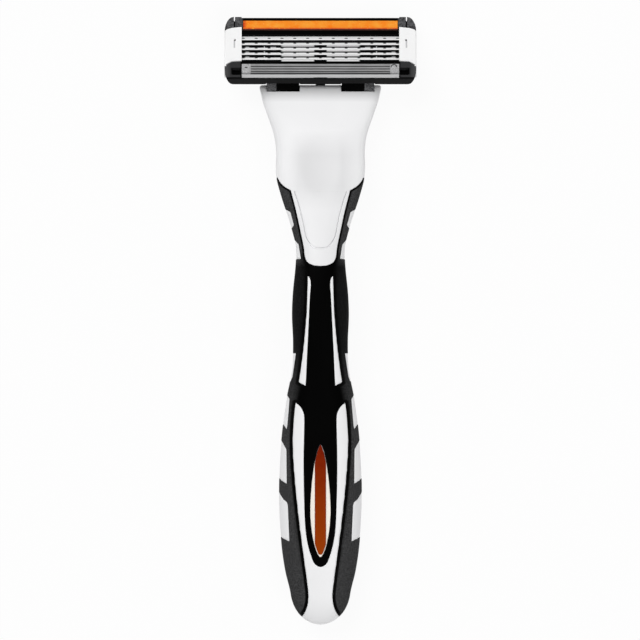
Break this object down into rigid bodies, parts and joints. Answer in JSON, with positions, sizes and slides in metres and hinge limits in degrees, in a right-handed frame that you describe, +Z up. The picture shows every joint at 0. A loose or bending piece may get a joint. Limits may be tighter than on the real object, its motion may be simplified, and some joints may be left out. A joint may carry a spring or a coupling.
{
  "type": "cartridge razor",
  "caption": "Wet-shaving razor with a tilting cartridge of sprung blades on a white handle with rubber grips.",
  "frame": {"origin": "on the floor under the middle of the razor, which lies on its back with the shaving face up", "axes": "+Z up, -Y toward the head, +Y toward the butt of the handle, +X toward the left of the head as seen from above"},
  "size_m": [0.0434, 0.1378, 0.0155],
  "materials": {
    "white_plastic": "smooth gloss",
    "clip_white": "smooth gloss",
    "side_rubber": "fine matte texture",
    "black_rubber": "smooth matte",
    "lens_plastic": "gloss",
    "orange_plastic": "gloss",
    "black_plastic": "satin",
    "grey_plastic": "fine texture",
    "guard_rubber": "satin",
    "lube_orange": "waxy",
    "steel": "bright",
    "blade_steel": "polished"
  },
  "bodies": {
    "handle": {"handle_core": "white_plastic", "neck_cover": "white_plastic", "side_grip_left": "side_rubber", "side_grip_right": "side_rubber", "front_grip": "black_rubber", "back_grip": "side_rubber", "lens_insert": "lens_plastic", "accent_bar": "orange_plastic", "button_spring": "steel"},
    "button": {"release_button": "white_plastic"},
    "connector": {"connector": "black_plastic", "pivot_pins": "steel", "plunger_spring": "steel"},
    "plunger": {"plunger": "black_plastic"},
    "cartridge": {"cartridge_frame": "black_plastic", "guard_strip": "guard_rubber", "cap_tray": "grey_plastic", "lube_strip": "lube_orange", "clip_left": "clip_white", "clip_right": "clip_white", "spring_comb_left": "black_plastic", "spring_comb_right": "black_plastic", "trimmer_guard": "black_plastic", "trimmer_blade": "steel"},
    "blade_unit_1": {"blade_1": "blade_steel", "blade_support_1": "steel"},
    "blade_unit_2": {"blade_2": "blade_steel", "blade_support_2": "steel"},
    "blade_unit_3": {"blade_3": "blade_steel", "blade_support_3": "steel"},
    "blade_unit_4": {"blade_4": "blade_steel", "blade_support_4": "steel"},
    "blade_unit_5": {"blade_5": "blade_steel", "blade_support_5": "steel"}
  },
  "joints": [
    {"name": "button_press", "type": "hinge", "parent": "handle", "child": "button", "pos_m": [0, -0.0304, 0.009], "axis": [-1, 0, 0], "range_deg": [0, 3], "stiffness_Nm_per_rad": 0.3, "springref_deg": -1.72, "deforming": ["button_spring"]},
    {"name": "cartridge_release", "type": "slide", "parent": "handle", "child": "connector", "axis": [0, -1, 0], "range_m": [0, 0.014]},
    {"name": "cartridge_tilt", "type": "hinge", "parent": "connector", "child": "cartridge", "pos_m": [0, -0.056, 0.00867], "axis": [1, 0, 0], "range_deg": [0, 40], "stiffness_Nm_per_rad": 0.01, "springref_deg": -28.65},
    {"name": "plunger_slide", "type": "slide", "parent": "connector", "child": "plunger", "axis": [0, 1, 0], "range_m": [0, 0.00096], "deforming": ["plunger_spring"]},
    {"name": "blade_1_float", "type": "slide", "parent": "cartridge", "child": "blade_unit_1", "axis": [0, 0.5, -0.866], "range_m": [0, 0.0004], "stiffness_N_per_m": 200, "springref_m": -0.0002},
    {"name": "blade_2_float", "type": "slide", "parent": "cartridge", "child": "blade_unit_2", "axis": [0, 0.5, -0.866], "range_m": [0, 0.0004], "stiffness_N_per_m": 200, "springref_m": -0.0002},
    {"name": "blade_3_float", "type": "slide", "parent": "cartridge", "child": "blade_unit_3", "axis": [0, 0.5, -0.866], "range_m": [0, 0.0004], "stiffness_N_per_m": 200, "springref_m": -0.0002},
    {"name": "blade_4_float", "type": "slide", "parent": "cartridge", "child": "blade_unit_4", "axis": [0, 0.5, -0.866], "range_m": [0, 0.0004], "stiffness_N_per_m": 200, "springref_m": -0.0002},
    {"name": "blade_5_float", "type": "slide", "parent": "cartridge", "child": "blade_unit_5", "axis": [0, 0.5, -0.866], "range_m": [0, 0.0004], "stiffness_N_per_m": 200, "springref_m": -0.0002}
  ],
  "couplings": [
    {"joint": "plunger_slide", "follows": "cartridge_tilt", "m_per_rad": 0.0013636}
  ]
}
